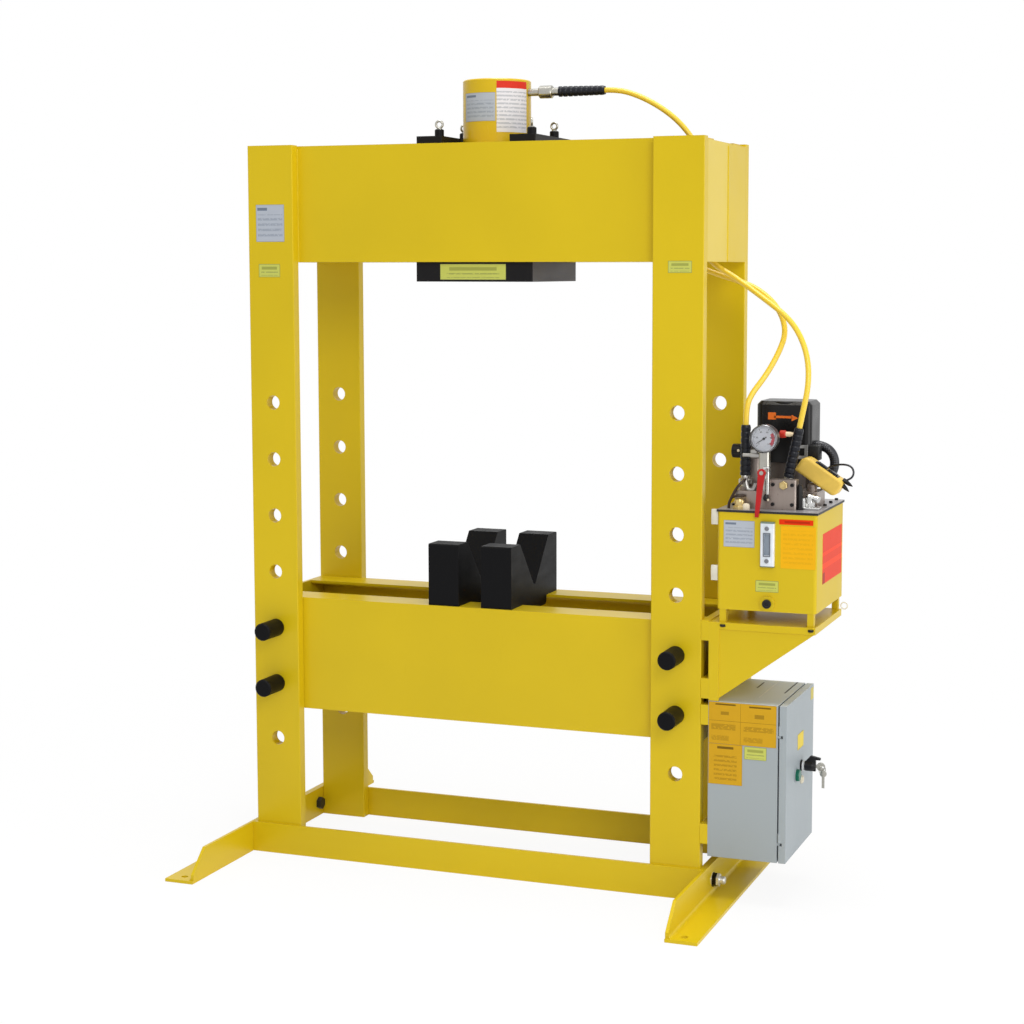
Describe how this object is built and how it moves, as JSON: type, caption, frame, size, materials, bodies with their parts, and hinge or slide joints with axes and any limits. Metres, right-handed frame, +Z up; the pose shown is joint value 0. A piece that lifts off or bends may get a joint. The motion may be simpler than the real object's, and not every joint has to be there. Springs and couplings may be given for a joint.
{
  "type": "hydraulic press",
  "caption": "Floor-standing H-frame hydraulic press with a pinned height-adjustable bed, head cylinder, V-blocks, side-mounted electric pump and control box.",
  "frame": {"origin": "on the floor, in the middle of the four floor anchor holes, below the ram's axis", "axes": "+Z up along the ram's axis, +X across the press towards the pump and the control box, +Y from the front to the back"},
  "size_m": [1.6761, 1.072, 2.05],
  "materials": {
    "frame_yellow": "gloss",
    "cylinder_yellow": "gloss",
    "bracket_yellow": "gloss",
    "black_steel": "satin",
    "pin_black": "satin",
    "steel": "satin",
    "chrome": "polished",
    "hose_yellow": "satin",
    "black_rubber": "matte",
    "valve_steel": "satin",
    "motor_grey": "satin",
    "black_plastic": "matte",
    "gauge_case": "polished",
    "needle_black": "matte",
    "clear_lens": "polished",
    "lever_red": "gloss",
    "pendant_yellow": "satin",
    "button_black": "matte",
    "box_grey": "satin",
    "green_plastic": "gloss",
    "lamp_beige": "gloss",
    "sight_clear": "gloss",
    "contactor_grey": "matte"
  },
  "bodies": {
    "frame": {"base_ties": "frame_yellow", "bed_channel_front": "frame_yellow", "bed_channel_rear": "frame_yellow", "bed_end_plates": "frame_yellow", "bottom_clamp_plate": "black_steel", "box_contactor": "contactor_grey", "box_shell": "box_grey", "clamp_bolts": "black_steel", "column_front_left": "frame_yellow", "column_front_right": "frame_yellow", "column_rear_left": "frame_yellow", "column_rear_right": "frame_yellow", "cylinder_barrel": "cylinder_yellow", "cylinder_gland": "steel", "drain_plug": "black_plastic", "feet": "frame_yellow", "foot_fasteners": "steel", "foot_spacers": "frame_yellow", "gauge_adapter": "steel", "gauge_case": "gauge_case", "gauge_lens": "clear_lens", "head_channel_front": "frame_yellow", "head_channel_rear": "frame_yellow", "head_end_plates": "frame_yellow", "hose_advance": "hose_yellow", "hose_couplers": "steel", "hose_retract": "hose_yellow", "hose_sleeves": "black_rubber", "lifting_eyes": "chrome", "motor_conduit": "black_rubber", "motor_shroud": "black_plastic", "pendant_body": "pendant_yellow", "pendant_cable": "black_rubber", "pump_bracket": "bracket_yellow", "pump_motor": "motor_grey", "side_rails": "black_steel", "sight_gauge": "sight_clear", "tank_cover": "black_steel", "tank_shell": "bracket_yellow", "top_clamp_bars": "black_steel", "v_block_left": "black_steel", "v_block_right": "black_steel", "valve_block": "valve_steel"},
    "ram": {"ram_piston": "steel", "ram_rod": "chrome", "ram_saddle": "steel"},
    "bed_pin_lower_left": {"bed_pin_lower_left": "pin_black"},
    "bed_pin_lower_right": {"bed_pin_lower_right": "pin_black"},
    "bed_pin_upper_left": {"bed_pin_upper_left": "pin_black"},
    "bed_pin_upper_right": {"bed_pin_upper_right": "pin_black"},
    "gauge_needle": {"gauge_needle": "needle_black"},
    "valve_lever": {"valve_lever": "lever_red"},
    "pressure_knob": {"pressure_knob": "black_plastic"},
    "door": {"box_door": "box_grey", "power_lamp": "lamp_beige"},
    "key_switch": {"key_switch": "black_plastic", "switch_key": "steel"},
    "start_button": {"start_button": "green_plastic"},
    "pendant_button_up": {"pendant_button_up": "button_black"},
    "pendant_button_down": {"pendant_button_down": "button_black"}
  },
  "joints": [
    {"name": "ram_stroke", "type": "slide", "parent": "frame", "child": "ram", "axis": [0, 0, -1], "range_m": [0, 0.333]},
    {"name": "bed_pin_lower_left_pull", "type": "slide", "parent": "frame", "child": "bed_pin_lower_left", "axis": [0, -1, 0], "range_m": [0, 0.4]},
    {"name": "bed_pin_lower_right_pull", "type": "slide", "parent": "frame", "child": "bed_pin_lower_right", "axis": [0, -1, 0], "range_m": [0, 0.4]},
    {"name": "bed_pin_upper_left_pull", "type": "slide", "parent": "frame", "child": "bed_pin_upper_left", "axis": [0, -1, 0], "range_m": [0, 0.4]},
    {"name": "bed_pin_upper_right_pull", "type": "slide", "parent": "frame", "child": "bed_pin_upper_right", "axis": [0, -1, 0], "range_m": [0, 0.4]},
    {"name": "gauge_needle_sweep", "type": "hinge", "parent": "frame", "child": "gauge_needle", "pos_m": [0.763, -0.168, 1.155], "axis": [0, 1, 0], "range_deg": [0, 270]},
    {"name": "valve_lever_turn", "type": "hinge", "parent": "frame", "child": "valve_lever", "pos_m": [0.769, -0.2105, 1.076], "axis": [0, 1, 0], "range_deg": [-45, 45]},
    {"name": "pressure_knob_turn", "type": "hinge", "parent": "frame", "child": "pressure_knob", "pos_m": [0.6875, -0.094, 1.117], "axis": [-1, 0, 0], "range_deg": [0, 270]},
    {"name": "door_swing", "type": "hinge", "parent": "frame", "child": "door", "pos_m": [0.821, -0.205, 0.311], "axis": [0, 0, -1], "range_deg": [0, 110]},
    {"name": "key_switch_turn", "type": "hinge", "parent": "door", "child": "key_switch", "pos_m": [0.838, -0.052, 0.325], "axis": [1, 0, 0], "range_deg": [0, 90]},
    {"name": "start_button_press", "type": "slide", "parent": "door", "child": "start_button", "axis": [-1, 0, 0], "range_m": [0, 0.004], "stiffness_N_per_m": 800},
    {"name": "pendant_button_up_press", "type": "slide", "parent": "frame", "child": "pendant_button_up", "axis": [-0.5446, 0, -0.8387], "range_m": [0, 0.003], "stiffness_N_per_m": 500},
    {"name": "pendant_button_down_press", "type": "slide", "parent": "frame", "child": "pendant_button_down", "axis": [-0.5446, 0, -0.8387], "range_m": [0, 0.003], "stiffness_N_per_m": 500}
  ]
}
